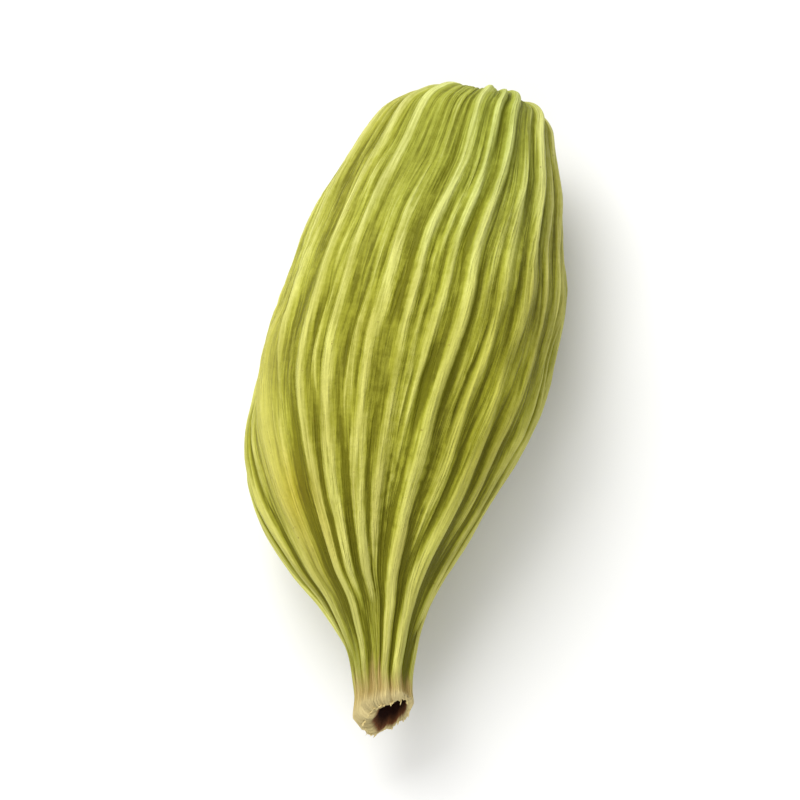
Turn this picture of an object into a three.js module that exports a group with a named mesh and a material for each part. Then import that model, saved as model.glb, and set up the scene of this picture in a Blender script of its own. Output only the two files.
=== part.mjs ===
// Green cardamom pod: a dry seed capsule with three blunt sides, ribbed from its stalk stub to its
// blunt tip. It lies on a small flat spot on its underside.
// Units are millimetres. +Y runs along the pod from the stub to the tip and +Z is up. The origin is
// the middle of the pod's footprint, on the surface that it lies on.

import * as THREE from 'three';

const { degToRad, lerp, smoothstep, clamp, euclideanModulo } = THREE.MathUtils;

// The pod's skin as it would be without ribs, from the floor of the hollow stub, round the stub's
// rim, along the husk and over the tip into the scar. Each station is one section across the pod:
// [along Y, half width, half height, centre in X, centre in Z, slant of the cut stub, ribbing].
const STATIONS = [
  [1.00, 0.20, 0.22, 0.10, 2.80, 0.5, 0.00],
  [0.62, 0.29, 0.31, 0.13, 2.80, 0.8, 0.00],
  [0.14, 0.36, 0.38, 0.13, 2.78, 1.0, 0.10],
  [0.00, 0.52, 0.52, 0.05, 2.76, 1.0, 0.25],
  [0.14, 0.70, 0.70, -0.04, 2.76, 1.0, 0.30],
  [0.80, 0.69, 0.68, -0.10, 2.82, 0.5, 0.50],
  [1.80, 0.86, 0.82, -0.29, 2.90, 0.0, 0.85],
  [2.70, 1.26, 1.20, -0.64, 2.98, 0.0, 1.00],
  [3.60, 1.86, 1.74, -1.01, 3.04, 0.0, 1.00],
  [5.00, 2.69, 2.44, -1.23, 3.08, 0.0, 1.00],
  [6.60, 3.26, 3.04, -1.12, 3.20, 0.0, 1.00],
  [8.90, 3.56, 3.42, -0.78, 3.42, 0.0, 1.00],
  [11.20, 3.43, 3.28, -0.55, 3.40, 0.0, 1.00],
  [13.20, 3.00, 2.84, -0.43, 3.22, 0.0, 1.00],
  [14.80, 2.40, 2.24, -0.28, 2.98, 0.0, 1.00],
  [15.45, 1.98, 1.72, -0.04, 2.84, 0.0, 1.00],
  [15.80, 1.48, 1.20, 0.08, 2.74, 0.0, 0.90],
  [15.84, 0.80, 0.70, 0.06, 2.70, 0.0, 0.60],
  [15.66, 0.44, 0.42, 0.04, 2.68, 0.0, 0.25],
  [15.56, 0.24, 0.24, 0.04, 2.68, 0.0, 0.00],
];
const SOCKET_FLOOR = 1.05;
const SCAR_MIDDLE = 15.62;
const ROW_STEP = 0.46;

// The stub is cut slanting: its rim reaches furthest out at this angle round the pod.
const STUB_SLANT = 0.72;
const STUB_LONG_SIDE = degToRad(225);

// The tip's end face leans over, so its upper edge stands out furthest. A pair such as TIP_LEAN_SPAN
// is the stretch along the pod over which something sets in.
const TIP_LEAN = 0.27;
const TIP_LEAN_SPAN = [13.8, 15.6];

// The three blunt corners, one on the back of each of the capsule's three valves.
const CORNER_ANGLES = [75, 205, 335].map(degToRad);
const CORNER_HEIGHT = 0.075;
const CORNER_SHARPNESS = 4;
const CORNER_SPAN = [1.5, 6];

// The ribs on the upper side, which run at these angles round the pod at its waist, from +X towards
// +Z: [degrees, strength, half width in degrees, where it starts along the pod, where it ends].
const WHOLE_LENGTH = [-5, 25];
const UPPER_RIBS = [
  [12, 0.80, 4.4, 2.6, 25],
  [26, 0.55, 3.4, 5.2, 15],
  [41, 1.00, 4.8, ...WHOLE_LENGTH],
  [55, 0.75, 3.8, 4.6, 14.5],
  [62, 0.30, 2.8, 7.4, 13],
  [70.5, 1.00, 4.4, ...WHOLE_LENGTH],
  [80, 0.70, 3.2, 6.6, 25],
  [85.5, 0.45, 2.6, 7.2, 12.5],
  [91, 0.80, 4.2, 3.8, 25],
  [103, 1.00, 4.6, 3.3, 12.8],
  [110, 0.50, 3.2, 6.8, 13],
  [122, 0.95, 5.0, 3, 25],
  [129.5, 0.60, 4.0, 8.2, 13.5],
  [136, 0.95, 4.8, ...WHOLE_LENGTH],
  [156, 0.90, 4.6, 8.6, 25],
  [168, 1.00, 14.0, -5, 9.4],
];

// The ribs on the underside are spread evenly with a little seeded scatter, every third one strong.
// The others start and end where the seed says, up to UNDER_RANGE past these places.
const UNDER_RIBS = 19;
const UNDER_SCATTER = 3;
const UNDER_STRONG = [1, 4.6, ...WHOLE_LENGTH];
const UNDER_FINE = [0.4, 3.4, 2.6, 13];
const UNDER_RANGE = [0.4, 0, 2.6, 5];
const RIB_HEIGHT = 0.17;
const RIB_FADE = 0.9;
const RIB_COLUMNS = 3;

// Ribs are this much wider, as an angle, where the pod is narrower than at its waist.
const WAIST_HALF_WIDTH = 3.5;
const SPREAD_POWER = 0.55;

// Towards the stub the ribs are this much broader, and rounder, so that only narrow grooves are left.
const BROADER = 1.4;
const BROAD_SPAN = [5.5, 8.5];
const RIB_ROUNDNESS = { broad: 1.1, fine: 2 };

// Towards the stub the ribs lean round the pod, more so on the side away from LEAN_FROM. They turn
// back at the neck, and turn again at the tip, most of all at TIP_TURN_AT.
const LEAN = degToRad(40);
const LEAN_FROM = degToRad(42);
const LEAN_POWER = 1.6;
const NECK_TURN = degToRad(22);
const TIP_TURN = degToRad(13);
const TIP_TURN_AT = degToRad(60);
const TIP_TURN_POWER = 6;
const LEAN_SPAN = [3.6, 9.4];
const NECK_SPAN = [0.8, 3.2];
const TIP_SPAN = [11, 15];
const RIB_WAVE = degToRad(0.6);
const RIB_WAVELENGTHS = [4.5, 7.5];

// The seeds inside press faint swellings into the husk.
const SEED_SWELL = 0.03;
const SEED_PITCH = 3.1;
const SEEDS_START = [4, 6];
const SEEDS_END = [13, 15];

// The pod was pressed flat where it lies, and its ribs are smoothed around that spot, up to a height.
const REST_DEPTH = 0.16;
const REST_MIDDLE = new THREE.Vector2(-0.75, 9.1);
const REST_REACH = new THREE.Vector2(2.0, 2.8);
const REST_SMOOTHING = 0.85;
const REST_HEIGHTS = [0.8, 2.4];

function seeded(index, channel) {
  const value = Math.sin(index * 12.9898 + channel * 78.233) * 43758.5453;
  return value - Math.floor(value);
}

function ribList() {
  const first = UPPER_RIBS[0][0] + 360;
  const last = UPPER_RIBS.at(-1)[0];
  const step = (first - last) / (UNDER_RIBS + 1);
  const under = Array.from({ length: UNDER_RIBS }, (_, i) => {
    const degrees = last + (i + 1) * step + (seeded(i, 1) - 0.5) * UNDER_SCATTER;
    const strong = i % 3 === 2;
    const fine = UNDER_FINE.map((value, k) => value + UNDER_RANGE[k] * seeded(i, 2 + k));
    return [degrees, ...(strong ? UNDER_STRONG : fine)];
  });
  return [...UPPER_RIBS, ...under].map(([degrees, strength, width, start, end], i) => ({
    angle: degToRad(degrees),
    width: degToRad(width),
    strength,
    start,
    end,
    phase: 2 * Math.PI * seeded(i, 6),
    wavelength: lerp(...RIB_WAVELENGTHS, seeded(i, 7)),
  }));
}

const ribs = ribList();

// Uniform Catmull-Rom through the stations: place 2.5 is half-way between the third and the fourth.
function skinAt(place) {
  const index = Math.min(Math.floor(place), STATIONS.length - 2);
  const t = place - index;
  const [before, start, end, after] = [-1, 0, 1, 2].map(
    (offset) => STATIONS[clamp(index + offset, 0, STATIONS.length - 1)]);
  return start.map((value, i) => {
    const tangentIn = (end[i] - before[i]) / 2;
    const tangentOut = (after[i] - value) / 2;
    const cubic = 2 * value - 2 * end[i] + tangentIn + tangentOut;
    const square = -3 * value + 3 * end[i] - 2 * tangentIn - tangentOut;
    return ((cubic * t + square) * t + tangentIn) * t + value;
  });
}

function rowPlaces() {
  const places = [];
  for (let i = 0; i < STATIONS.length - 1; i += 1) {
    const [here, next] = [STATIONS[i], STATIONS[i + 1]];
    const length = Math.hypot(next[0] - here[0], next[1] - here[1]);
    const count = Math.max(1, Math.round(length / ROW_STEP));
    for (let k = 0; k < count; k += 1) {
      places.push(i + k / count);
    }
  }
  places.push(STATIONS.length - 1);
  return places;
}

// A section's radius before it is fitted to its width and height: a circle with three corners.
function sectionRadius(angle, cornerHeight) {
  const corners = CORNER_ANGLES.map(
    (corner) => Math.exp(CORNER_SHARPNESS * (Math.cos(angle - corner) - 1)));
  return 1 + cornerHeight * corners.reduce((sum, value) => sum + value, 0);
}

function sectionReach(cornerHeight) {
  const reach = { right: 0, left: 0, top: 0, bottom: 0 };
  for (let degrees = 0; degrees < 360; degrees += 3) {
    const angle = degToRad(degrees);
    const radius = sectionRadius(angle, cornerHeight);
    reach.right = Math.max(reach.right, radius * Math.cos(angle));
    reach.left = Math.max(reach.left, -radius * Math.cos(angle));
    reach.top = Math.max(reach.top, radius * Math.sin(angle));
    reach.bottom = Math.max(reach.bottom, -radius * Math.sin(angle));
  }
  return reach;
}

// Where a rib or a column between ribs lies round the pod, at a distance along it.
function turned(angle, along) {
  const side = Math.abs(Math.sin((angle - LEAN_FROM) / 2)) ** LEAN_POWER;
  const lean = LEAN * side * (1 - smoothstep(along, ...LEAN_SPAN));
  const neck = NECK_TURN * (1 - smoothstep(along, ...NECK_SPAN));
  const near = Math.abs(Math.cos((angle - TIP_TURN_AT) / 2)) ** TIP_TURN_POWER;
  const tip = TIP_TURN * near * smoothstep(along, ...TIP_SPAN);
  return angle - lean + neck - tip;
}

// A rib's crest, as an angle at the waist: it wanders a little from side to side.
function crestAngle(rib, along) {
  return rib.angle + RIB_WAVE * Math.sin(2 * Math.PI * along / rib.wavelength + rib.phase);
}

function skinPoint(angle, skin, reach, cornerHeight) {
  const [along, halfWidth, halfHeight, centreX, centreZ, slant] = skin;
  const radius = sectionRadius(angle, cornerHeight);
  const side = radius * Math.cos(angle);
  const up = radius * Math.sin(angle);
  const rise = halfHeight * up / (up > 0 ? reach.top : reach.bottom);
  const cut = slant * STUB_SLANT * (1 - Math.cos(angle - STUB_LONG_SIDE)) / 2;
  const tipLean = TIP_LEAN * smoothstep(along, ...TIP_LEAN_SPAN) * rise;
  return new THREE.Vector3(
    centreX + halfWidth * side / (side > 0 ? reach.right : reach.left),
    along + cut + tipLean,
    centreZ + rise);
}

// How far a rib stands up here, from 0 at the valley floor to 1: minor ribs fade out at both ends.
function ribPresence(rib, along) {
  const begins = smoothstep(along, rib.start - RIB_FADE, rib.start + RIB_FADE);
  const ends = 1 - smoothstep(along, rib.end - RIB_FADE, rib.end + RIB_FADE);
  return rib.strength * begins * ends;
}

// Height above the valley floor, from 0 to 1, at an angle at the waist.
function ribHeight(angle, along, halfWidth) {
  const broad = 1 - smoothstep(along, ...BROAD_SPAN);
  const spread = (WAIST_HALF_WIDTH / halfWidth) ** SPREAD_POWER * lerp(1, BROADER, broad);
  const roundness = lerp(RIB_ROUNDNESS.fine, RIB_ROUNDNESS.broad, broad);
  const heights = ribs.map((rib) => {
    const away = euclideanModulo(angle - crestAngle(rib, along) + Math.PI, 2 * Math.PI) - Math.PI;
    const inside = Math.max(0, 1 - (away / (rib.width * spread)) ** 2);
    return ribPresence(rib, along) * inside ** roundness;
  });
  return Math.max(...heights);
}

// 1 in the middle of the spot that the pod lies on, falling to 0 around it and on the upper side.
function pressedFlat(point) {
  const side = (point.x - REST_MIDDLE.x) / REST_REACH.x;
  const along = (point.y - REST_MIDDLE.y) / REST_REACH.y;
  const distance = side * side + along * along;
  return (1 - smoothstep(point.z, ...REST_HEIGHTS)) * Math.exp(-distance * distance);
}

function seedSwell(angle, along) {
  const inHusk = smoothstep(along, ...SEEDS_START) * (1 - smoothstep(along, ...SEEDS_END));
  const row = Math.cos(3 * (angle - CORNER_ANGLES[0]));
  return SEED_SWELL * inHusk * row * Math.cos(2 * Math.PI * along / SEED_PITCH);
}

function huskRow(place) {
  const skin = skinAt(place);
  const [along, halfWidth] = skin;
  const ribbing = skin.at(-1);
  const cornerHeight = CORNER_HEIGHT * smoothstep(along, ...CORNER_SPAN);
  const reach = sectionReach(cornerHeight);
  const crests = ribs.map((rib) => crestAngle(rib, along));
  crests.push(crests[0] + 2 * Math.PI);
  const row = [];
  ribs.forEach((_, i) => {
    for (let k = 0; k < RIB_COLUMNS; k += 1) {
      const waistAngle = lerp(crests[i], crests[i + 1], k / RIB_COLUMNS);
      const angle = turned(waistAngle, along);
      const point = skinPoint(angle, skin, reach, cornerHeight);
      const groove = RIB_HEIGHT * ribbing * (1 - ribHeight(waistAngle, along, halfWidth));
      const ironed = 1 - REST_SMOOTHING * pressedFlat(point);
      row.push({ point, sink: groove * ironed - seedSwell(angle, along) });
    }
  });
  return row;
}

// The rows as one closed skin: each point sinks below the smooth skin along that skin's normal.
function podGeometry() {
  const rows = rowPlaces().map(huskRow);
  const columns = rows[0].length;
  const poles = [
    new THREE.Vector3(STATIONS[0][3], SOCKET_FLOOR + STUB_SLANT * STATIONS[0][5] / 2, STATIONS[0][4]),
    new THREE.Vector3(STATIONS.at(-1)[3], SCAR_MIDDLE, STATIONS.at(-1)[4]),
  ];
  const smooth = (row, column) => {
    if (row < 0) return poles[0];
    if (row >= rows.length) return poles[1];
    return rows[row][(column + columns) % columns].point;
  };

  const points = [poles[0]];
  rows.forEach((row, r) => row.forEach(({ point, sink }, c) => {
    const across = new THREE.Vector3().subVectors(smooth(r, c + 1), smooth(r, c - 1));
    const along = new THREE.Vector3().subVectors(smooth(r + 1, c), smooth(r - 1, c));
    const inward = across.cross(along).normalize();
    points.push(point.clone().addScaledVector(inward, sink));
  }));
  points.push(poles[1]);

  const lowest = Math.min(...points.map((point) => point.z));
  points.forEach((point) => {
    point.z = Math.max(point.z, lowest + REST_DEPTH);
  });

  const at = (row, column) => 1 + row * columns + (column % columns);
  const tip = points.length - 1;
  const faces = [];
  for (let c = 0; c < columns; c += 1) {
    faces.push(0, at(0, c), at(0, c + 1));
    faces.push(tip, at(rows.length - 1, c + 1), at(rows.length - 1, c));
    for (let r = 0; r < rows.length - 1; r += 1) {
      faces.push(at(r, c), at(r + 1, c), at(r + 1, c + 1));
      faces.push(at(r, c), at(r + 1, c + 1), at(r, c + 1));
    }
  }

  const geometry = new THREE.BufferGeometry().setFromPoints(points);
  geometry.setIndex(faces);
  geometry.computeBoundingBox();
  const { min, max } = geometry.boundingBox;
  geometry.translate(-(min.x + max.x) / 2, -(min.y + max.y) / 2, -min.z);
  geometry.computeVertexNormals();
  return geometry;
}

const husk = new THREE.MeshStandardMaterial({ color: 0xa6a84e, roughness: 0.72, metalness: 0 });
const pod = new THREE.Mesh(podGeometry(), husk);
pod.name = 'cardamom_pod';

const part = new THREE.Group();
part.add(pod);

export default part;
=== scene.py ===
"""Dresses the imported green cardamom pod: the same ribbed husk in a fine mesh, with its dry wrinkles,
frayed stub and flower scar, lying on a pale floor in soft studio light. The camera looks down on it."""

import math

import bpy
import numpy as np
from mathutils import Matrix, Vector, noise


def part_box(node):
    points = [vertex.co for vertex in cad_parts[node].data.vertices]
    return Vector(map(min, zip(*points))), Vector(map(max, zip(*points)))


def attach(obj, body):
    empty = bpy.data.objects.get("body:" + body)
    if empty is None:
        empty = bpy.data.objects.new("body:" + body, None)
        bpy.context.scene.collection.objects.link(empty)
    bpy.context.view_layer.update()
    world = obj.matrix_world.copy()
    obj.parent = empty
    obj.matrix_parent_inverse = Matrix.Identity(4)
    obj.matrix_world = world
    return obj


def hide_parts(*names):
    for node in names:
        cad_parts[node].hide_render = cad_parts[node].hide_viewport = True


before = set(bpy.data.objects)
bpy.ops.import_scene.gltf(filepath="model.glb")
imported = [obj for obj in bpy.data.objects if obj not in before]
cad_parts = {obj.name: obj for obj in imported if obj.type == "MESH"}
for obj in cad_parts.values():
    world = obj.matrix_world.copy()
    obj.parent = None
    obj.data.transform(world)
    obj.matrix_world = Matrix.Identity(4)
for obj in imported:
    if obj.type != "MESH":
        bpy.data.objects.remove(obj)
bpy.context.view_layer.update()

MM = 0.001
NODE = "cardamom_pod"

# The pod's form, in millimetres, as in the part's source. Its skin as it would be without ribs runs
# from the floor of the hollow stub, round the stub's rim, along the husk and over the tip into the
# scar. Each station is one section across the pod: along Y, half width, half height, centre in X,
# centre in Z, slant of the cut stub, ribbing.
STATIONS = np.array([
    (1.00, 0.20, 0.22, 0.10, 2.80, 0.5, 0.00),
    (0.62, 0.29, 0.31, 0.13, 2.80, 0.8, 0.00),
    (0.14, 0.36, 0.38, 0.13, 2.78, 1.0, 0.10),
    (0.00, 0.52, 0.52, 0.05, 2.76, 1.0, 0.25),
    (0.14, 0.70, 0.70, -0.04, 2.76, 1.0, 0.30),
    (0.80, 0.69, 0.68, -0.10, 2.82, 0.5, 0.50),
    (1.80, 0.86, 0.82, -0.29, 2.90, 0.0, 0.85),
    (2.70, 1.26, 1.20, -0.64, 2.98, 0.0, 1.00),
    (3.60, 1.86, 1.74, -1.01, 3.04, 0.0, 1.00),
    (5.00, 2.69, 2.44, -1.23, 3.08, 0.0, 1.00),
    (6.60, 3.26, 3.04, -1.12, 3.20, 0.0, 1.00),
    (8.90, 3.56, 3.42, -0.78, 3.42, 0.0, 1.00),
    (11.20, 3.43, 3.28, -0.55, 3.40, 0.0, 1.00),
    (13.20, 3.00, 2.84, -0.43, 3.22, 0.0, 1.00),
    (14.80, 2.40, 2.24, -0.28, 2.98, 0.0, 1.00),
    (15.45, 1.98, 1.72, -0.04, 2.84, 0.0, 1.00),
    (15.80, 1.48, 1.20, 0.08, 2.74, 0.0, 0.90),
    (15.84, 0.80, 0.70, 0.06, 2.70, 0.0, 0.60),
    (15.66, 0.44, 0.42, 0.04, 2.68, 0.0, 0.25),
    (15.56, 0.24, 0.24, 0.04, 2.68, 0.0, 0.00),
])
SOCKET_FLOOR = 1.05
SCAR_MIDDLE = 15.62

# How far apart rows are along the skin, and how many columns there are from one rib to the next: in
# the part's solid, and in the fine husk.
CAD_ROW_STEP, CAD_RIB_COLUMNS = 0.46, 3
ROW_STEP, RIB_COLUMNS = 0.092, 12

# The stub is cut slanting: its rim reaches furthest out at this angle round the pod.
STUB_SLANT = 0.72
STUB_LONG_SIDE = math.radians(225)

# The tip's end face leans over, so its upper edge stands out furthest. A pair such as TIP_LEAN_SPAN is
# the stretch along the pod over which something sets in.
TIP_LEAN = 0.27
TIP_LEAN_SPAN = (13.8, 15.6)

# The three blunt corners, one on the back of each of the capsule's three valves.
CORNER_ANGLES = np.radians([75, 205, 335])
CORNER_HEIGHT = 0.075
CORNER_SHARPNESS = 4
CORNER_SPAN = (1.5, 6)

# The ribs on the upper side, which run at these angles round the pod at its waist, from +X towards +Z:
# degrees, strength, half width in degrees, where the rib starts along the pod and where it ends.
WHOLE_LENGTH = (-5, 25)
UPPER_RIBS = [
    (12, 0.80, 4.4, 2.6, 25),
    (26, 0.55, 3.4, 5.2, 15),
    (41, 1.00, 4.8, *WHOLE_LENGTH),
    (55, 0.75, 3.8, 4.6, 14.5),
    (62, 0.30, 2.8, 7.4, 13),
    (70.5, 1.00, 4.4, *WHOLE_LENGTH),
    (80, 0.70, 3.2, 6.6, 25),
    (85.5, 0.45, 2.6, 7.2, 12.5),
    (91, 0.80, 4.2, 3.8, 25),
    (103, 1.00, 4.6, 3.3, 12.8),
    (110, 0.50, 3.2, 6.8, 13),
    (122, 0.95, 5.0, 3, 25),
    (129.5, 0.60, 4.0, 8.2, 13.5),
    (136, 0.95, 4.8, *WHOLE_LENGTH),
    (156, 0.90, 4.6, 8.6, 25),
    (168, 1.00, 14.0, -5, 9.4),
]

# The ribs on the underside are spread evenly with a little seeded scatter, every third one strong. The
# others start and end where the seed says, up to UNDER_RANGE past these places.
UNDER_RIBS = 19
UNDER_SCATTER = 3
UNDER_STRONG = (1, 4.6, *WHOLE_LENGTH)
UNDER_FINE = (0.4, 3.4, 2.6, 13)
UNDER_RANGE = (0.4, 0, 2.6, 5)
RIB_HEIGHT = 0.17
RIB_FADE = 0.9

# Ribs are this much wider, as an angle, where the pod is narrower than at its waist.
WAIST_HALF_WIDTH = 3.5
SPREAD_POWER = 0.55

# Towards the stub the ribs are this much broader, and rounder, so that only narrow grooves are left.
BROADER = 1.4
BROAD_SPAN = (5.5, 8.5)
BROAD_ROUNDNESS, FINE_ROUNDNESS = 1.1, 2

# Towards the stub the ribs lean round the pod, more so on the side away from LEAN_FROM. They turn back
# at the neck, and turn again at the tip, most of all at TIP_TURN_AT.
LEAN = math.radians(40)
LEAN_FROM = math.radians(42)
LEAN_POWER = 1.6
NECK_TURN = math.radians(22)
TIP_TURN = math.radians(13)
TIP_TURN_AT = math.radians(60)
TIP_TURN_POWER = 6
LEAN_SPAN = (3.6, 9.4)
NECK_SPAN = (0.8, 3.2)
TIP_SPAN = (11, 15)
RIB_WAVE = math.radians(0.6)
RIB_WAVELENGTHS = (4.5, 7.5)

# The seeds inside press faint swellings into the husk.
SEED_SWELL = 0.03
SEED_PITCH = 3.1
SEEDS_START = (4, 6)
SEEDS_END = (13, 15)

# The pod was pressed flat where it lies, and its ribs are smoothed around that spot, up to a height.
REST_DEPTH = 0.16
REST_MIDDLE = (-0.75, 9.1)
REST_REACH = (2.0, 2.8)
REST_SMOOTHING = 0.85
REST_HEIGHTS = (0.8, 2.4)

# Fine relief on top of the ribs, in millimetres: depth, then how wide round the pod and how long
# along it one mark is. Ribs also wander by WANDER, an angle, and vary in height by RIB_UNEVEN, a share.
WANDER = (math.radians(1.5), 1.5, 2.6)
RIB_UNEVEN = (0.40, 0.7, 1.5)
FIBRES = (0.050, 0.22, 2.6)
THREADS = (0.028, 0.13, 1.4)
CREASES = (0.034, 0.70, 0.34)
RIPPLES = (0.012, 0.50, 0.42)
DENTS = (0.075, 1.7, 2.2)

# Each seed moves a noise by one more of these steps, so that no two are alike.
NOISE_STEP = np.array((7.1, 3.7, 5.3))

# Fibres are folded noise, stretched and then lowered to a mean near 0. On a crest, fibres and creases
# keep these shares of their depth. All relief is fainter where the pod is narrow.
FIBRE_STRETCH, FIBRE_DROP = 2.2, 0.5
FIBRES_ON_CREST, CREASES_ON_CREST = 0.45, 0.40
NARROW_POWER = 0.8

# Creases are strong in noisy patches and in one beaded area on the upper side, and faint elsewhere.
CREASE_WIDTH = 0.30
CREASED_ELSEWHERE = 0.25
CREASED_PATCHES = (1.2, 2.5, 3.5)
BEADED_MIDDLE = (math.radians(92), 9.4)
BEADED_REACH = (math.radians(24), 3.4)

# The rim gets ragged as the slant of a section rises through this range. Each pair is the notches'
# depth in millimetres and their width as a share of the rim's radius.
RAGGED_SLANTS = (0.75, 1.0)
RAGGED_RIM = ((0.10, 0.55), (0.07, 0.16))

# Two places where the ribs are softer: by how much, then the middle and the reach of each.
SOFTER = (
    (0.50, (math.radians(150), 15.0), (math.radians(38), 4.6)),
    (0.30, (math.radians(36), 9.0), (math.radians(24), 4.0)),
)

# What stands out is measured against the skin around it: so many columns and rows to each side, on the
# husk and on the neck. The neck gives way to the husk as the pod widens through these shares of its
# waist. The heights in millimetres count as fully raised, before and after a span along the pod.
RAISED_REACH = (7, 3)
NECK_REACH = (24, 4)
NECK_GIRTH = (0.3, 0.85)
RAISED_HEIGHTS = (0.036, 0.092)
RAISED_SPAN = (4.5, 8.5)

# What each point of the fine husk carries for its material.
HUSK_ATTRIBUTES = (
    "raised", "along", "waist_x", "waist_z", "stub", "socket", "scar", "stain", "pale_and_light", "green", "olive_and_shade")

# The stations that are the stub's rim and the scar's edge.
RIM_STATION, SCAR_STATION = 3, 17

# Where the husk changes colour, in millimetres: the stub and its socket from the rim, and the scar
# from its middle. A fringe is how far an edge strays, how wide and long one mark of it is, and its
# seed.
STUB_SPAN = (0.5, 1.5)
FRINGES = ((0.3, 1.4, 1.6, 9), (0.4, 0.4, 2.4, 13))
SOCKET_DEPTH = 0.45
SCAR_RADII = (0.40, 1.15)
SCAR_FRINGE = 0.5

# Patches of colour: a middle and a reach, each as an angle at the waist and a distance along the pod,
# then a strength and how much blotches change it. Blotches are so wide and so long.
BLOTCHES = (1.1, 1.5)
STAIN_MIDDLE = (math.radians(151), 4.5)
STAIN_REACH = (math.radians(14), 1.3)
STAIN_STRENGTH = (1.0, 0.9)
# The pale band on the left flank is partly the husk's own paler tone and partly painted light where the
# key light falls.
PALE_AND_LIGHT_MIDDLE = (math.radians(169), 6.6)
PALE_AND_LIGHT_REACH = (math.radians(12), 3.6)
PALE_AND_LIGHT_STRENGTH = (1.1, 0.5)
# The patch on the right flank is partly a more saturated olive and partly painted shade, on the side away
# from the key light.
OLIVE_AND_SHADE_MIDDLE = (math.radians(40), 7.5)
OLIVE_AND_SHADE_REACH = (math.radians(32), 4.0)

# The upper side turns greener towards the tip, and all of the husk a little here and there: by how
# much, and in marks how wide and how long.
GREEN_SPAN = (8.5, 14.5)
GREEN_MIDDLE = math.radians(82)
GREEN_AT_TIP, GREEN_ELSEWHERE = 0.75, 0.055
GREEN_DRIFT = (0.275, 2.2, 4.5)

# Torn fibres round the stub's rim, and threads left of the flower round the tip's scar. Lengths and
# widths are in millimetres, and a lean is how far each leans out, sideways and along the pod. A channel
# picks the scattered numbers that it uses.
TORN_FIBRES = {
    "count": 26,
    "station": RIM_STATION,
    "length": (0.05, 0.16),
    "width": (0.050, 0.100),
    "lean": (0.55, 0.45, -1),
    "channel": 20,
}
FLOWER_THREADS = {
    "count": 16,
    "station": SCAR_STATION,
    "length": (0.06, 0.20),
    "width": (0.050, 0.100),
    "lean": (-0.90, 0.45, 0.6),
    "channel": 30,
}
STRAND_RINGS, STRAND_SIDES = 5, 5

# A strand bends aside by a share of its length, narrows by a power and is flatter than it is wide. It
# strays by up to a share of its space and is mostly short, and a share of its length is added as a
# root inside the husk.
STRAND_BEND = 0.35
STRAND_TAPER = 0.7
STRAND_FLATNESS = 0.6
STRAND_SCATTER = 0.8
MOSTLY_SHORT = 1.6
SUNK_SHARE = 0.25


def smoothstep(x, low, high):
    t = np.clip((np.asarray(x, float) - low) / (high - low), 0, 1)
    return t * t * (3 - 2 * t)


def lerp(a, b, t):
    return a + (b - a) * t


def seeded(index, channel):
    """A scattered number from 0 to 1, always the same for this index and channel."""
    value = math.sin(index * 12.9898 + channel * 78.233) * 43758.5453
    return value - math.floor(value)


def rib_list():
    last = UPPER_RIBS[-1][0]
    step = (UPPER_RIBS[0][0] + 360 - last) / (UNDER_RIBS + 1)
    rows = list(UPPER_RIBS)
    for i in range(UNDER_RIBS):
        degrees = last + (i + 1) * step + (seeded(i, 1) - 0.5) * UNDER_SCATTER
        strong = i % 3 == 2
        fine = [value + UNDER_RANGE[k] * seeded(i, 2 + k) for k, value in enumerate(UNDER_FINE)]
        rows.append((degrees, *(UNDER_STRONG if strong else fine)))
    return [{
        "angle": math.radians(degrees),
        "width": math.radians(width),
        "strength": strength,
        "start": start,
        "end": end,
        "phase": 2 * math.pi * seeded(i, 6),
        "wavelength": lerp(*RIB_WAVELENGTHS, seeded(i, 7)),
    } for i, (degrees, strength, width, start, end) in enumerate(rows)]


RIBS = rib_list()


def skin_at(place):
    """One section: uniform Catmull-Rom through the stations."""
    index = min(int(place), len(STATIONS) - 2)
    t = place - index
    last = len(STATIONS) - 1
    before, start, end, after = (STATIONS[min(max(index + k, 0), last)] for k in (-1, 0, 1, 2))
    tangent_in = (end - before) / 2
    tangent_out = (after - start) / 2
    cubic = 2 * start - 2 * end + tangent_in + tangent_out
    square = -3 * start + 3 * end - 2 * tangent_in - tangent_out
    return ((cubic * t + square) * t + tangent_in) * t + start


def row_places(row_step):
    places = []
    for i, (here, after) in enumerate(zip(STATIONS[:-1], STATIONS[1:])):
        length = math.hypot(after[0] - here[0], after[1] - here[1])
        count = max(1, math.floor(length / row_step + 0.5))
        places += [i + k / count for k in range(count)]
    return places + [len(STATIONS) - 1]


def section_radius(angle, corner_height):
    corners = np.exp(CORNER_SHARPNESS * (np.cos(np.subtract.outer(angle, CORNER_ANGLES)) - 1))
    return 1 + corner_height * corners.sum(axis=-1)


def section_reach(corner_height):
    angle = np.radians(np.arange(0, 360, 3))
    radius = section_radius(angle, corner_height)
    side, rise = radius * np.cos(angle), radius * np.sin(angle)
    return side.max(), -side.min(), rise.max(), -rise.min()


def turned(angle, along):
    side = np.abs(np.sin((angle - LEAN_FROM) / 2)) ** LEAN_POWER
    lean = LEAN * side * (1 - smoothstep(along, *LEAN_SPAN))
    neck = NECK_TURN * (1 - smoothstep(along, *NECK_SPAN))
    near = np.abs(np.cos((angle - TIP_TURN_AT) / 2)) ** TIP_TURN_POWER
    tip = TIP_TURN * near * smoothstep(along, *TIP_SPAN)
    return angle - lean + neck - tip


def crest_angle(rib, along):
    """Where a rib's crest lies, as an angle at the waist."""
    return rib["angle"] + RIB_WAVE * math.sin(2 * math.pi * along / rib["wavelength"] + rib["phase"])


def rib_presence(rib, along):
    begins = smoothstep(along, rib["start"] - RIB_FADE, rib["start"] + RIB_FADE)
    ends = 1 - smoothstep(along, rib["end"] - RIB_FADE, rib["end"] + RIB_FADE)
    return rib["strength"] * begins * ends


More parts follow.
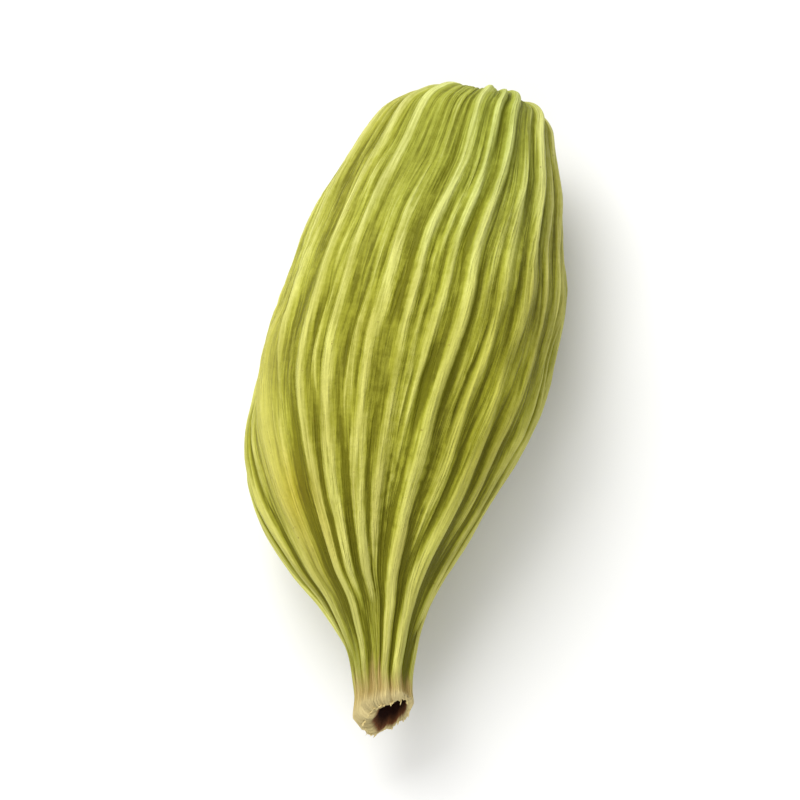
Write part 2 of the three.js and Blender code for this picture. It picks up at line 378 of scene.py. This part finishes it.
def waist_angles(along, rib_columns):
    """Angle at the waist of each column at this place: the columns follow the crests."""
    crests = np.array([crest_angle(rib, along) for rib in RIBS])
    after = np.append(crests[1:], crests[0] + 2 * math.pi)
    part = np.arange(rib_columns) / rib_columns
    return lerp(crests[:, None], after[:, None], part[None, :]).ravel()


def rib_height(angle, along, half_width):
    """Height above the valley floor, from 0 to 1, at angles at the waist."""
    broad = 1 - float(smoothstep(along, *BROAD_SPAN))
    spread = (WAIST_HALF_WIDTH / half_width) ** SPREAD_POWER * lerp(1, BROADER, broad)
    roundness = lerp(FINE_ROUNDNESS, BROAD_ROUNDNESS, broad)
    height = np.zeros_like(angle)
    for rib in RIBS:
        away = (angle - crest_angle(rib, along) + math.pi) % (2 * math.pi) - math.pi
        inside = np.clip(1 - (away / (rib["width"] * spread)) ** 2, 0, 1)
        height = np.maximum(height, rib_presence(rib, along) * inside ** roundness)
    return height


def unrolled_noise(waist_angle, along, width, length, seed):
    """Signed smooth noise that runs with the ribs: one mark is so wide round the waist and so long."""
    radius = WAIST_HALF_WIDTH / width
    places = seed * NOISE_STEP + np.stack([
        radius * np.cos(waist_angle),
        radius * np.sin(waist_angle),
        np.broadcast_to(along, waist_angle.shape) / length], axis=-1)
    values = [noise.noise(place) for place in places.reshape(-1, 3).tolist()]
    return np.array(values).reshape(waist_angle.shape)


def pressed_flat(x, y, z):
    distance = ((x - REST_MIDDLE[0]) / REST_REACH[0]) ** 2 + ((y - REST_MIDDLE[1]) / REST_REACH[1]) ** 2
    return (1 - smoothstep(z, *REST_HEIGHTS)) * np.exp(-distance * distance)


def seed_swell(angle, along):
    in_husk = smoothstep(along, *SEEDS_START) * (1 - smoothstep(along, *SEEDS_END))
    row = np.cos(3 * (angle - CORNER_ANGLES[0]))
    return SEED_SWELL * in_husk * row * math.cos(2 * math.pi * along / SEED_PITCH)


def pod_grid(row_step, rib_columns, fine=False):
    """The pod as rows of points with what each point carries, and its two poles."""
    grid = {key: [] for key in ("point", "sink", "height", "along", "waist", "girth")}
    for place in row_places(row_step):
        along, half_width, half_height, centre_x, centre_z, slant, ribbing = skin_at(place)
        corner_height = CORNER_HEIGHT * float(smoothstep(along, *CORNER_SPAN))
        right, left, top, bottom = section_reach(corner_height)
        waist_angle = waist_angles(along, rib_columns)
        angle = turned(waist_angle, along)
        if fine:
            uneven, width, length = RIB_UNEVEN
            wander = WANDER[0] * unrolled_noise(waist_angle, along, *WANDER[1:], seed=1)
            height = rib_height(waist_angle + wander, along, half_width)
            height = height * (1 + uneven * unrolled_noise(waist_angle, along, width, length, seed=2))
        else:
            height = rib_height(waist_angle, along, half_width)
        radius = section_radius(angle, corner_height)
        side, up = radius * np.cos(angle), radius * np.sin(angle)
        rise = half_height * up / np.where(up > 0, top, bottom)
        x = centre_x + half_width * side / np.where(side > 0, right, left)
        cut = slant * STUB_SLANT * (1 - np.cos(angle - STUB_LONG_SIDE)) / 2
        if fine:
            rim = float(smoothstep(slant, *RAGGED_SLANTS))
            for depth, size in RAGGED_RIM:
                cut += depth * rim * unrolled_noise(angle, along, size * WAIST_HALF_WIDTH, 1, seed=8)
        y = along + cut + TIP_LEAN * float(smoothstep(along, *TIP_LEAN_SPAN)) * rise
        z = centre_z + rise
        groove = RIB_HEIGHT * ribbing * (1 - height) * (1 - REST_SMOOTHING * pressed_flat(x, y, z))
        grid["point"].append(np.stack([x, y, z], axis=-1))
        grid["sink"].append(groove - seed_swell(angle, along))
        grid["height"].append(height)
        grid["along"].append(np.full_like(angle, along))
        grid["waist"].append(waist_angle)
        grid["girth"].append(np.full_like(angle, half_width / WAIST_HALF_WIDTH))
    grid = {key: np.array(rows) for key, rows in grid.items()}
    first, last = STATIONS[0], STATIONS[-1]
    grid["poles"] = np.array([
        (first[3], SOCKET_FLOOR + STUB_SLANT * first[5] / 2, first[4]),
        (last[3], SCAR_MIDDLE, last[4]),
    ])
    return grid


def inward_normals(grid):
    """The smooth skin's normals, pointing into the pod."""
    point = grid["point"]
    columns = point.shape[1]
    poles = grid["poles"]
    framed = np.concatenate([
        np.repeat(poles[None, :1], columns, axis=1), point, np.repeat(poles[None, 1:], columns, axis=1)])
    across = np.roll(point, -1, axis=1) - np.roll(point, 1, axis=1)
    along = framed[2:] - framed[:-2]
    normal = np.cross(across, along)
    return normal / np.linalg.norm(normal, axis=-1, keepdims=True)


def sunk(grid):
    return grid["point"] + inward_normals(grid) * grid["sink"][..., None]


def cad_placement():
    """The rest plane's height in the form's own units, and the shift from there to the frame."""
    grid = pod_grid(CAD_ROW_STEP, CAD_RIB_COLUMNS)
    points = np.concatenate([sunk(grid).reshape(-1, 3), grid["poles"]])
    rest_level = points[:, 2].min() + REST_DEPTH
    points[:, 2] = np.maximum(points[:, 2], rest_level)
    low, high = (np.array(corner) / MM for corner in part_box(NODE))
    shift = (low + high) / 2 - (points.min(axis=0) + points.max(axis=0)) / 2
    return rest_level, shift


def patch(grid, middle, reach):
    """1 at a place given by waist angle and distance along, falling to 0 around it."""
    round_way = (grid["waist"] - middle[0]) / reach[0]
    length_way = (grid["along"] - middle[1]) / reach[1]
    return np.exp(-round_way ** 2 - length_way ** 2)


def fine_relief(grid):
    """Depth of the dry husk's fibres, threads, creases and dents below the ribbed skin."""
    waist, along = grid["waist"], grid["along"]
    valley = 1 - np.clip(grid["height"], 0, 1)

    def marks(spec, seed):
        return unrolled_noise(waist, along, *spec[1:], seed=seed)

    folded = FIBRE_STRETCH * np.abs(marks(FIBRES, 3)) - FIBRE_DROP
    fibres = FIBRES[0] * lerp(FIBRES_ON_CREST, 1, valley) * folded
    crease = np.clip(1 - np.abs(marks(CREASES, 5)) / CREASE_WIDTH, 0, 1) ** 2
    creased = np.clip(CREASED_ELSEWHERE + CREASED_PATCHES[0] * marks(CREASED_PATCHES, 6), 0, 1)
    creased = np.maximum(creased, patch(grid, BEADED_MIDDLE, BEADED_REACH))
    creases = CREASES[0] * lerp(CREASES_ON_CREST, 1, valley) * crease * creased
    plain = sum(spec[0] * marks(spec, seed) for spec, seed in ((THREADS, 4), (RIPPLES, 12), (DENTS, 7)))
    return (fibres + creases + plain) * np.clip(grid["girth"], 0, 1) ** NARROW_POWER


def raised(grid):
    """How far the skin stands above its surroundings, from 0 in a groove to 1 on a crest."""
    sink = grid["sink"]
    at_neck = 1 - smoothstep(grid["girth"], *NECK_GIRTH)
    around = lerp(local_mean(sink, RAISED_REACH), local_mean(sink, NECK_REACH), at_neck)
    height = lerp(*RAISED_HEIGHTS, smoothstep(grid["along"], *RAISED_SPAN))
    return np.clip(0.5 + 0.5 * (around - sink) / height, 0, 1)


def colour_masks(grid):
    """How far each point belongs to the stub, its socket, the tip's scar and each patch, some partly
    painted light and shade.
    """
    waist, along = grid["waist"], grid["along"]
    rows = np.arange(len(along))[:, None] + np.zeros_like(along)
    outside = rows > np.searchsorted(row_places(ROW_STEP), RIM_STATION)
    fringe = sum(
        size * unrolled_noise(waist, along, width, length, seed) for size, width, length, seed in FRINGES)
    from_tip = np.linalg.norm(grid["point"] - grid["poles"][1], axis=-1)
    blotch = unrolled_noise(waist, along, *BLOTCHES, seed=10)

    def blotched(middle, reach, strength):
        return np.clip(patch(grid, middle, reach) * (strength[0] + strength[1] * blotch), 0, 1)

    upper = np.clip(np.cos(waist - GREEN_MIDDLE), 0, 1) ** 2
    green = GREEN_AT_TIP * smoothstep(along, *GREEN_SPAN) * upper + GREEN_ELSEWHERE
    green += GREEN_DRIFT[0] * unrolled_noise(waist, along, *GREEN_DRIFT[1:], seed=11)
    return {
        "stub": np.where(outside, 1 - smoothstep(along + fringe, *STUB_SPAN), 1),
        "socket": np.where(outside, 0, smoothstep(along, 0, SOCKET_DEPTH)),
        "scar": np.where(outside, 1 - smoothstep(from_tip + SCAR_FRINGE * fringe, *SCAR_RADII), 0),
        "stain": blotched(STAIN_MIDDLE, STAIN_REACH, STAIN_STRENGTH),
        "pale_and_light": blotched(PALE_AND_LIGHT_MIDDLE, PALE_AND_LIGHT_REACH, PALE_AND_LIGHT_STRENGTH),
        "olive_and_shade": patch(grid, OLIVE_AND_SHADE_MIDDLE, OLIVE_AND_SHADE_REACH),
        "green": np.clip(green, 0, 1),
    }


def local_mean(values, reach):
    """Mean over the neighbouring columns and rows: the columns go round, the rows end."""
    around, along = reach
    mean = sum(np.roll(values, k, axis=1) for k in range(-around, around + 1)) / (2 * around + 1)
    framed = np.pad(mean, ((along, along), (0, 0)), mode="edge")
    return sum(framed[k:k + len(values)] for k in range(2 * along + 1)) / (2 * along + 1)


def husk_form():
    """The fine husk's grid, with its points as they lie in the frame, in metres."""
    grid = pod_grid(ROW_STEP, RIB_COLUMNS, fine=True)
    for softer, middle, reach in SOFTER:
        grid["sink"] *= 1 - softer * patch(grid, middle, reach)
    grid["sink"] += fine_relief(grid)
    grid["raised"] = raised(grid)
    grid.update(colour_masks(grid))
    grid["waist_x"] = WAIST_HALF_WIDTH * np.cos(grid["waist"])
    grid["waist_z"] = WAIST_HALF_WIDTH * np.sin(grid["waist"])
    rest_level, shift = cad_placement()
    points = sunk(grid)
    points[..., 2] = np.maximum(points[..., 2], rest_level)
    grid["placed"] = (points + shift) * MM
    grid["placed_poles"] = (grid["poles"] + shift) * MM
    return grid


def husk_mesh(grid):
    placed, poles = grid["placed"], grid["placed_poles"]
    rows, columns = placed.shape[:2]
    index = 1 + np.arange(rows * columns).reshape(rows, columns)
    after = np.roll(index, -1, axis=1)
    quads = np.stack([index[:-1], index[1:], after[1:], after[:-1]], axis=-1).reshape(-1, 4)
    tip = 1 + rows * columns
    faces = quads.tolist()
    faces += [(0, a, b) for a, b in zip(index[0].tolist(), after[0].tolist())]
    faces += [(tip, b, a) for a, b in zip(index[-1].tolist(), after[-1].tolist())]

    mesh = bpy.data.meshes.new("husk")
    vertices = np.concatenate([poles[:1], placed.reshape(-1, 3), poles[1:]])
    mesh.from_pydata(vertices.tolist(), [], faces)
    mesh.update()
    for name in HUSK_ATTRIBUTES:
        values = grid[name].reshape(-1)
        padded = np.concatenate([values[:1], values, values[-1:]]).astype(np.float32)
        mesh.attributes.new(name, "FLOAT", "POINT").data.foreach_set("value", padded)
    mesh.polygons.foreach_set("use_smooth", [True] * len(mesh.polygons))
    return mesh


def strand(root, lean, length, width):
    """One tapered strand that bends over as it leans: its points, and its faces."""
    aim = lean.normalized()
    side = aim.orthogonal().normalized()
    other = aim.cross(side)
    points, faces = [], []
    for ring in range(STRAND_RINGS):
        reached = ring / STRAND_RINGS
        centre = root + length * reached * (aim + STRAND_BEND * reached * side)
        half = width / 2 * (1 - reached) ** STRAND_TAPER
        for k in range(STRAND_SIDES):
            turn = 2 * math.pi * k / STRAND_SIDES
            spoke = math.cos(turn) * side + STRAND_FLATNESS * math.sin(turn) * other
            points.append(centre + half * spoke)
    points.append(root + length * (aim + STRAND_BEND * side))
    tip = len(points) - 1
    for ring in range(STRAND_RINGS):
        first = ring * STRAND_SIDES
        is_last = ring == STRAND_RINGS - 1
        for k in range(STRAND_SIDES):
            a, b = first + k, first + (k + 1) % STRAND_SIDES
            faces.append((a, b, tip) if is_last else (a, b, b + STRAND_SIDES, a + STRAND_SIDES))
    faces.append(tuple(reversed(range(STRAND_SIDES))))
    return points, faces


def strands_mesh(name, grid, spec):
    """Strands that stand on one row of the husk, at seeded places round it."""
    row = int(np.searchsorted(row_places(ROW_STEP), spec["station"]))
    ring = grid["placed"][row]
    middle = Vector(ring.mean(axis=0))
    out, sideways, along = spec["lean"]
    channel = spec["channel"]
    points, faces = [], []
    for i in range(spec["count"]):
        place = (i + STRAND_SCATTER * seeded(i, channel)) / spec["count"]
        edge = Vector(ring[int(place * len(ring))])
        away = (edge - middle).normalized()
        tangent = away.cross(Vector((0, 1, 0)))
        stray = 2 * seeded(i, channel + 1) - 1
        lean = out * away + sideways * stray * tangent + along * Vector((0, 1, 0))
        length = lerp(*spec["length"], seeded(i, channel + 2) ** MOSTLY_SHORT) * MM
        width = lerp(*spec["width"], seeded(i, channel + 3)) * MM
        root = edge - SUNK_SHARE * length * lean.normalized()
        its_points, its_faces = strand(root, lean, (1 + SUNK_SHARE) * length, width)
        faces += [tuple(corner + len(points) for corner in face) for face in its_faces]
        points += its_points
    mesh = bpy.data.meshes.new(name)
    mesh.from_pydata([tuple(point) for point in points], [], faces)
    mesh.update()
    mesh.polygons.foreach_set("use_smooth", [True] * len(mesh.polygons))
    return mesh


def link(name, mesh, material):
    piece = bpy.data.objects.new(name, mesh)
    bpy.context.scene.collection.objects.link(piece)
    mesh.materials.append(material)
    return piece


class Nodes:
    """A material's node tree, with short calls for the nodes that this script uses."""

    def __init__(self, name):
        self.material = bpy.data.materials.new(name)
        self.material.use_nodes = True
        self.tree = self.material.node_tree
        self.shader = self.tree.nodes["Principled BSDF"]

    def add(self, kind, **settings):
        node = self.tree.nodes.new(kind)
        for key, value in settings.items():
            setattr(node, key, value)
        return node

    def put(self, value, socket):
        """Links a socket, or sets a number or colour."""
        if isinstance(value, bpy.types.NodeSocket):
            self.tree.links.new(value, socket)
        elif isinstance(value, tuple) and len(value) == 3 and len(socket.default_value) == 4:
            socket.default_value = (*value, 1)
        else:
            socket.default_value = value

    def attribute(self, name):
        return self.add("ShaderNodeAttribute", attribute_name=name).outputs["Fac"]

    def math(self, operation, a, b=0.0, clamp=False):
        node = self.add("ShaderNodeMath", operation=operation, use_clamp=clamp)
        self.put(a, node.inputs[0])
        self.put(b, node.inputs[1])
        return node.outputs[0]

    def mix(self, factor, a, b, blend="MIX"):
        node = self.add("ShaderNodeMix", data_type="RGBA", blend_type=blend)
        self.put(factor, node.inputs[0])
        self.put(a, node.inputs[6])
        self.put(b, node.inputs[7])
        return node.outputs[2]

    def span(self, value, low, high, to_low=0.0, to_high=1.0):
        """Maps a range of one value smoothly onto a range of another."""
        node = self.add("ShaderNodeMapRange", interpolation_type="SMOOTHSTEP")
        for socket, number in zip(node.inputs[:5], (value, low, high, to_low, to_high)):
            self.put(number, socket)
        return node.outputs[0]

    def swing(self, marks, size):
        """Maps the usual range of a noise to one from -size to size."""
        return self.span(marks, *NOISE_RANGE, -size, size)

    def ramp(self, source, stops):
        node = self.add("ShaderNodeValToRGB")
        while len(node.color_ramp.elements) < len(stops):
            node.color_ramp.elements.new(0.5)
        for element, (position, colour) in zip(node.color_ramp.elements, stops):
            element.position = position
            element.color = (*colour, 1)
        self.put(source, node.inputs["Fac"])
        return node.outputs["Color"]

    def streaks(self, width, length, detail=2.0, offset=0.0):
        """Noise that runs with the ribs, in marks of this width round the waist and this length."""
        place = self.add("ShaderNodeCombineXYZ")
        sizes = {"waist_x": width, "along": length, "waist_z": width}
        for socket, (name, size) in zip(place.inputs, sizes.items()):
            scaled = self.math("MULTIPLY", self.attribute(name), 1 / size)
            self.put(self.math("ADD", scaled, offset), socket)
        texture = self.add("ShaderNodeTexNoise")
        self.put(place.outputs[0], texture.inputs["Vector"])
        texture.inputs["Scale"].default_value = 1.0
        texture.inputs["Detail"].default_value = detail
        return texture.outputs["Fac"]

    def grain(self, size, detail=3.0):
        """Noise in space, in marks of this size in millimetres."""
        texture = self.add("ShaderNodeTexNoise")
        self.put(self.add("ShaderNodeTexCoord").outputs["Object"], texture.inputs["Vector"])
        texture.inputs["Scale"].default_value = 1 / (size * MM)
        texture.inputs["Detail"].default_value = detail
        return texture.outputs["Fac"]

    def bump(self, height):
        """Bends the shading by a height in millimetres."""
        node = self.add("ShaderNodeBump")
        node.inputs["Strength"].default_value = 1.0
        node.inputs["Distance"].default_value = MM
        self.put(height, node.inputs["Height"])
        self.put(node.outputs[0], self.shader.inputs["Normal"])


# Marks in the colours, in millimetres: how wide round the waist and how long they are, and the sizes of
# even grain. A noise mostly stays in one range.
FIBRE_MARKS, THREAD_MARKS = (0.06, 1.1), (0.17, 3.0)
CREPE_MARKS, BLOTCH_MARKS = (0.15, 0.13), (1.0, 2.4)
GRAIN_SIZE, SPECK_SIZE, STRAND_GRAIN_SIZE = 0.06, 0.13, 0.12
NOISE_RANGE = (0.3, 0.7)

# The skin's colour at three heights from groove to crest, and how far marks of each kind shift it.
SKIN_HEIGHTS = (0.08, 0.48, 1.0)
# The groove colour is partly the husk's own darker olive and partly painted shade in the grooves.
GROOVE_TONE_AND_SHADE, SKIN, CREST = (0.160, 0.155, 0.005), (0.340, 0.337, 0.032), (0.57, 0.555, 0.135)
FIBRE_SHIFT, THREAD_SHIFT, CREPE_SHIFT = 0.12, 0.17, 0.05

# Tints that the skin is multiplied by. The first two run from the low end of a noise to its high end.
BLOTCH_TINTS = ((0.82, 0.79, 0.72), (1.10, 1.10, 1.15))
FIBRE_TINTS = ((0.86, 0.86, 0.84), (1.10, 1.10, 1.12))
NECK_PALER = (1.27, 1.27, 1.38)
# Painted light: the husk turns paler towards the tip, which the key light reaches most.
TIP_PAINTED_LIGHT = (1.13, 1.12, 1.50)
GREENER = (0.92, 1.05, 1.00)
STAINED = (0.96, 0.84, 0.38)
# Partly a more saturated olive, partly painted shade on the right flank.
OLIVE_AND_SHADE = (0.87, 0.87, 0.52)

# The neck's paler tint fades out over this span along the pod. It is weaker in grooves, and it fades
# out over another span, across the waist, towards the left flank.
NECK_PALER_SPAN = (2.4, 6.6)
NECK_CRESTS = (0.2, 0.8)
NECK_GROOVE_SHARE = 0.35
LEFT_FLANK = (-3.3, -2.2)
# The painted light towards the tip sets in over this span along the pod.
TIP_PAINTED_LIGHT_SPAN = (8.5, 14.5)

# The pale band on the left flank: partly the husk's own paler tone, partly painted light.
PALE_AND_LIGHT, PALE_AND_LIGHT_SHARE = (0.55, 0.51, 0.11), 0.6
SPECK, SPECK_SHARE = (0.16, 0.085, 0.015), 0.5
SPECK_RANGE = (0.72, 0.80)

STRAW, STRAW_DARK, RIM_PALE = (0.76, 0.62, 0.24), (0.50, 0.37, 0.11), (0.80, 0.67, 0.33)
STRAW_RANGE = (0.35, 0.65)
STRAW_GROOVE = (0.7, 0.6, 0.5)
RIM_SPAN, RIM_SHARE = (0.05, 0.6), 0.75
# The socket is red-brown at its rim and darkens to near black towards its floor: that darkening is
# painted shade in the hollow.
SOCKET_RIM, SOCKET_PAINTED_SHADE = (0.26, 0.10, 0.035), (0.022, 0.005, 0.002)
SOCKET_EDGE = (0, 0.25)
SCAR, SCAR_DARK = (0.50, 0.36, 0.15), (0.20, 0.12, 0.03)

HUSK_ROUGHNESS = (0.55, 0.75)
HUSK_SPECULAR = 0.14
STRAND_ROUGHNESS = 0.7

# Bumps too fine for the mesh, in millimetres.
FIBRE_BUMP, THREAD_BUMP, CREPE_BUMP, GRAIN_BUMP = 0.060, 0.030, 0.024, 0.014


def husk_material():
    nodes = Nodes("husk")
    fibre = nodes.streaks(*FIBRE_MARKS, detail=3.0)
    thread = nodes.streaks(*THREAD_MARKS, offset=5.0)
    crepe = nodes.streaks(*CREPE_MARKS, detail=3.0, offset=2.0)
    blotch = nodes.streaks(*BLOTCH_MARKS, detail=5.0, offset=9.0)

    colour = skin_colour(nodes, fibre, thread, crepe, blotch)
    colour = nodes.mix(nodes.attribute("stub"), colour, straw_colour(nodes, thread))
    # Painted shade in the hollow: darker deeper into the socket.
    hollow = nodes.mix(nodes.attribute("socket"), SOCKET_RIM, SOCKET_PAINTED_SHADE)
    colour = nodes.mix(nodes.span(nodes.attribute("socket"), *SOCKET_EDGE), colour, hollow)
    colour = nodes.mix(nodes.attribute("scar"), colour, nodes.mix(thread, SCAR_DARK, SCAR))
    nodes.put(colour, nodes.shader.inputs["Base Color"])

    nodes.put(nodes.span(fibre, *NOISE_RANGE, *HUSK_ROUGHNESS), nodes.shader.inputs["Roughness"])
    nodes.shader.inputs["Specular IOR Level"].default_value = HUSK_SPECULAR
    height = 0.0
    for marks, depth in (
        (fibre, FIBRE_BUMP),
        (thread, THREAD_BUMP),
        (crepe, CREPE_BUMP),
        (nodes.grain(GRAIN_SIZE), GRAIN_BUMP),
    ):
        height = nodes.math("ADD", height, nodes.math("MULTIPLY", marks, depth))
    nodes.bump(height)
    return nodes.material


def skin_colour(nodes, fibre, thread, crepe, blotch):
    """Olive grooves with painted shade, yellow-green crests, and tints, some of them painted light and
    shade.
    """
    relief = nodes.math("ADD", nodes.attribute("raised"), nodes.swing(fibre, FIBRE_SHIFT))
    relief = nodes.math("ADD", relief, nodes.swing(thread, THREAD_SHIFT))
    relief = nodes.math("ADD", relief, nodes.swing(crepe, CREPE_SHIFT), clamp=True)
    colour = nodes.ramp(relief, list(zip(SKIN_HEIGHTS, (GROOVE_TONE_AND_SHADE, SKIN, CREST))))
    for marks, tints in ((blotch, BLOTCH_TINTS), (fibre, FIBRE_TINTS)):
        colour = nodes.mix(1.0, colour, nodes.ramp(marks, list(zip(NOISE_RANGE, tints))), "MULTIPLY")
    colour = nodes.mix(neck_mask(nodes), colour, NECK_PALER, "MULTIPLY")
    # Partly painted light: the pale band on the lit left flank.
    colour = nodes.mix(nodes.math("MULTIPLY", nodes.attribute("pale_and_light"), PALE_AND_LIGHT_SHARE), colour, PALE_AND_LIGHT)
    # Painted light towards the tip, the real green and stain, then painted shade with a deeper olive on
    # the right flank.
    for mask, tint in (
        (nodes.span(nodes.attribute("along"), *TIP_PAINTED_LIGHT_SPAN), TIP_PAINTED_LIGHT),
        (nodes.attribute("green"), GREENER),
        (nodes.attribute("stain"), STAINED),
        (nodes.attribute("olive_and_shade"), OLIVE_AND_SHADE),
    ):
        colour = nodes.mix(mask, colour, tint, "MULTIPLY")
    speck = nodes.span(nodes.grain(SPECK_SIZE, detail=2.0), *SPECK_RANGE)
    return nodes.mix(nodes.math("MULTIPLY", speck, SPECK_SHARE), colour, SPECK)


def neck_mask(nodes):
    along = nodes.span(nodes.attribute("along"), *NECK_PALER_SPAN, 1.0, 0.0)
    crests = nodes.span(nodes.attribute("raised"), *NECK_CRESTS, NECK_GROOVE_SHARE, 1.0)
    off_flank = nodes.span(nodes.attribute("waist_x"), *LEFT_FLANK)
    return nodes.math("MULTIPLY", nodes.math("MULTIPLY", along, crests), off_flank)


def straw_colour(nodes, thread):
    """The dry stub: straw with darker grooves and a paler rim."""
    straw = nodes.mix(nodes.span(thread, *STRAW_RANGE), STRAW_DARK, STRAW)
    groove = nodes.math("SUBTRACT", 1.0, nodes.attribute("raised"))
    straw = nodes.mix(groove, straw, STRAW_GROOVE, "MULTIPLY")
    return nodes.mix(nodes.span(nodes.attribute("along"), *RIM_SPAN, RIM_SHARE, 0.0), straw, RIM_PALE)


def strand_material():
    nodes = Nodes("strand")
    colour = nodes.mix(nodes.grain(STRAND_GRAIN_SIZE), STRAW_DARK, RIM_PALE)
    nodes.put(colour, nodes.shader.inputs["Base Color"])
    nodes.shader.inputs["Roughness"].default_value = STRAND_ROUGHNESS
    return nodes.material


# The floor, the light and the camera, in metres. A lamp is its name, place, size and power.
FLOOR_REACH = 0.4
FLOOR_COLOUR, FLOOR_ROUGHNESS = (0.86, 0.86, 0.85), 0.8
WORLD_STRENGTH = 0.45
LAMPS = (
    ("key", (-0.070, 0.080, 0.14), 0.13, 0.34),
    ("fill", (-0.02, -0.13, 0.12), 0.12, 0.13),
)
LAMPS_AIM = (0, 0, 0.003)
SENSOR_WIDTH = 36
NEAREST_SEEN = 0.01


def floor():
    corners = [(x * FLOOR_REACH, y * FLOOR_REACH, 0) for x, y in ((-1, -1), (1, -1), (1, 1), (-1, 1))]
    floor_mesh = bpy.data.meshes.new("floor")
    floor_mesh.from_pydata(corners, [], [(0, 1, 2, 3)])
    nodes = Nodes("floor")
    nodes.put(FLOOR_COLOUR, nodes.shader.inputs["Base Color"])
    nodes.shader.inputs["Roughness"].default_value = FLOOR_ROUGHNESS
    link("floor", floor_mesh, nodes.material)


def light():
    world = bpy.data.worlds.new("studio")
    world.use_nodes = True
    background = world.node_tree.nodes["Background"]
    background.inputs["Color"].default_value = (1, 1, 1, 1)
    background.inputs["Strength"].default_value = WORLD_STRENGTH
    bpy.context.scene.world = world
    for name, place, size, power in LAMPS:
        data = bpy.data.lights.new(name, "AREA")
        data.size = size
        data.energy = power
        lamp = bpy.data.objects.new(name, data)
        lamp.location = place
        lamp.rotation_mode = "QUATERNION"
        lamp.rotation_quaternion = (Vector(LAMPS_AIM) - Vector(place)).to_track_quat("-Z", "Y")
        bpy.context.scene.collection.objects.link(lamp)


def camera(azimuth, elevation, distance, seen_width):
    """Looks at the pod's middle, from so far round it and up, and sees so much across."""
    data = bpy.data.cameras.new("camera")
    data.sensor_width = SENSOR_WIDTH
    data.lens = data.sensor_width * distance / seen_width
    data.clip_start = NEAREST_SEEN
    a, e = math.radians(azimuth), math.radians(elevation)
    back = Vector((math.sin(a) * math.cos(e), -math.cos(a) * math.cos(e), math.sin(e)))
    low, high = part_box(NODE)
    middle = (Vector(low) + Vector(high)) / 2
    eye = bpy.data.objects.new("camera", data)
    eye.location = middle + back * distance
    eye.rotation_mode = "QUATERNION"
    eye.rotation_quaternion = (-back).to_track_quat("-Z", "Y")
    bpy.context.scene.collection.objects.link(eye)
    bpy.context.scene.camera = eye


camera(azimuth=8.5, elevation=78, distance=0.25, seen_width=0.0195)
floor()
light()
bpy.context.scene.view_settings.view_transform = "Standard"

form = husk_form()
husk = link("husk", husk_mesh(form), husk_material())
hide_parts(NODE)
strand_look = strand_material()
strands = [
    link(name, strands_mesh(name, form, spec), strand_look)
    for name, spec in (("torn_fibres", TORN_FIBRES), ("flower_threads", FLOWER_THREADS))
]
for piece in (husk, *strands):
    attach(piece, "root")
